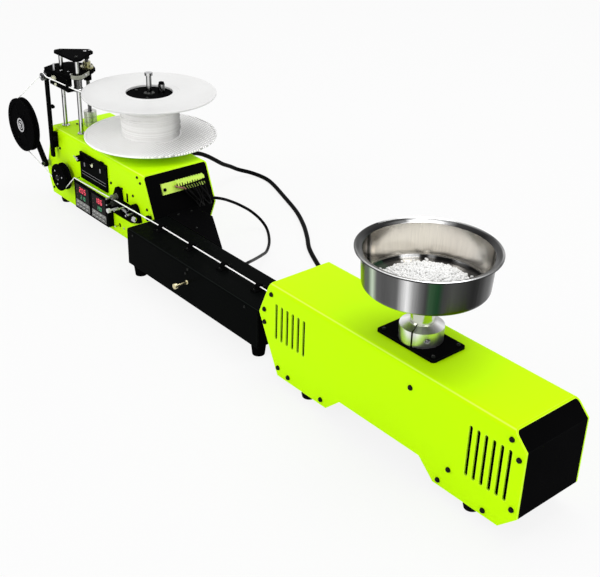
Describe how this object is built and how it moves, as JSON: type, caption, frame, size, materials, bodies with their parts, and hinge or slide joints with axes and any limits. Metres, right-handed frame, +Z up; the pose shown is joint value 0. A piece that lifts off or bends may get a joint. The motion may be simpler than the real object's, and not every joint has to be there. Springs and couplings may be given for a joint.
{
  "type": "filament extrusion line",
  "caption": "Bench-top filament extrusion line: pellet hopper, screw extruder, cooling trough, puller, dancer wheel, traverse and spool winder standing in one row.",
  "frame": {"origin": "centre of the bounding box's bottom face, taken without the two loose cables", "axes": "+X along the row from winder to extruder, +Y from the front plates to the back, +Z up"},
  "size_m": [1.106, 0.4169, 0.249],
  "materials": {
    "lime_paint": "satin powder coat",
    "black_paint": "gloss black",
    "black_plastic": "fine printed or moulded",
    "black_gloss": "polished",
    "rubber": "matte",
    "machined_steel": "turned",
    "stainless": "spun and polished",
    "chrome": "polished",
    "aluminium": "turned",
    "brass": "turned",
    "motor_grey": "satin",
    "roller_grey": "matte",
    "white_plastic": "printed",
    "filament_white": "smooth",
    "white_pellets": "smooth",
    "terminal_green": "moulded",
    "cable_black": "satin"
  },
  "bodies": {
    "root": {"extruder_hood": "lime_paint", "extruder_end_panels": "black_paint", "extruder_base": "black_paint", "housing_feet": "rubber", "screw_barrel": "machined_steel", "drive_motor": "motor_grey", "hopper_flange": "black_paint", "hopper_collar": "aluminium", "hopper_neck": "stainless", "hopper_pan": "stainless", "pellet_heap": "white_pellets", "trough_cover": "black_paint", "trough_base": "black_paint", "trough_feet": "black_plastic", "trough_knob": "brass", "filament_guides": "black_plastic", "link_deck": "black_paint", "winder_hood": "lime_paint", "winder_end_panels": "black_paint", "winder_base": "black_paint", "terminal_block": "terminal_green", "control_board": "black_gloss", "board_knobs": "black_plastic", "display_bezel": "black_gloss", "panel_meters": "black_gloss", "puller_bracket": "black_paint", "puller_pins": "machined_steel", "puller_knob": "white_plastic", "wheel_axles": "machined_steel", "guide_post": "black_paint", "traverse_rods": "chrome", "lead_screw": "machined_steel", "shaft_coupling": "aluminium", "traverse_top": "black_plastic", "line_filament": "filament_white", "dancer_filament_in": "filament_white", "dancer_filament_out": "filament_white", "traverse_filament": "filament_white", "cable_glands": "black_plastic", "power_cable": "cable_black", "signal_cable": "cable_black"},
    "reel": {"turntable": "black_plastic", "spool": "white_plastic", "wound_filament": "filament_white", "spool_hub": "black_plastic", "spool_spindle": "chrome"},
    "carriage": {"traverse_carriage": "black_plastic", "spool_filament": "filament_white", "traverse_nut": "brass"},
    "dancer_arm": {"dancer_arm": "black_plastic", "dancer_filament_wrap": "filament_white"},
    "dancer_wheel": {"dancer_wheel": "black_plastic"},
    "front_wheel": {"front_wheel": "black_plastic"},
    "guide_pulley": {"guide_pulley": "aluminium"},
    "upper_roller": {"puller_upper_roller": "roller_grey"},
    "lower_roller": {"puller_lower_roller": "roller_grey"}
  },
  "joints": [
    {"name": "reel_spin", "type": "hinge", "parent": "root", "child": "reel", "pos_m": [-0.29095, 0.03475, 0.142], "axis": [0, 0, 1], "continuous": true},
    {"name": "traverse_slide", "type": "slide", "parent": "root", "child": "carriage", "axis": [0, 0, 1], "range_m": [-0.044, 0.001], "deforming": ["traverse_filament"]},
    {"name": "dancer_swing", "type": "hinge", "parent": "root", "child": "dancer_arm", "pos_m": [-0.46695, -0.05575, 0.062], "axis": [0, 1, 0], "range_deg": [-40, 12], "deforming": ["dancer_filament_in", "dancer_filament_out"]},
    {"name": "dancer_wheel_spin", "type": "hinge", "parent": "dancer_arm", "child": "dancer_wheel", "pos_m": [-0.51005, -0.06625, 0.11716], "axis": [0, 1, 0], "continuous": true},
    {"name": "front_wheel_spin", "type": "hinge", "parent": "root", "child": "front_wheel", "pos_m": [-0.40695, -0.06025, 0.059], "axis": [0, 1, 0], "continuous": true},
    {"name": "pulley_spin", "type": "hinge", "parent": "root", "child": "guide_pulley", "pos_m": [-0.43195, -0.06375, 0.215], "axis": [0, 1, 0], "continuous": true},
    {"name": "lower_roller_spin", "type": "hinge", "parent": "root", "child": "lower_roller", "pos_m": [-0.25095, -0.06025, 0.06813], "axis": [0, 1, 0], "continuous": true},
    {"name": "upper_roller_spin", "type": "hinge", "parent": "root", "child": "upper_roller", "pos_m": [-0.25095, -0.06025, 0.07787], "axis": [0, 1, 0], "continuous": true}
  ]
}
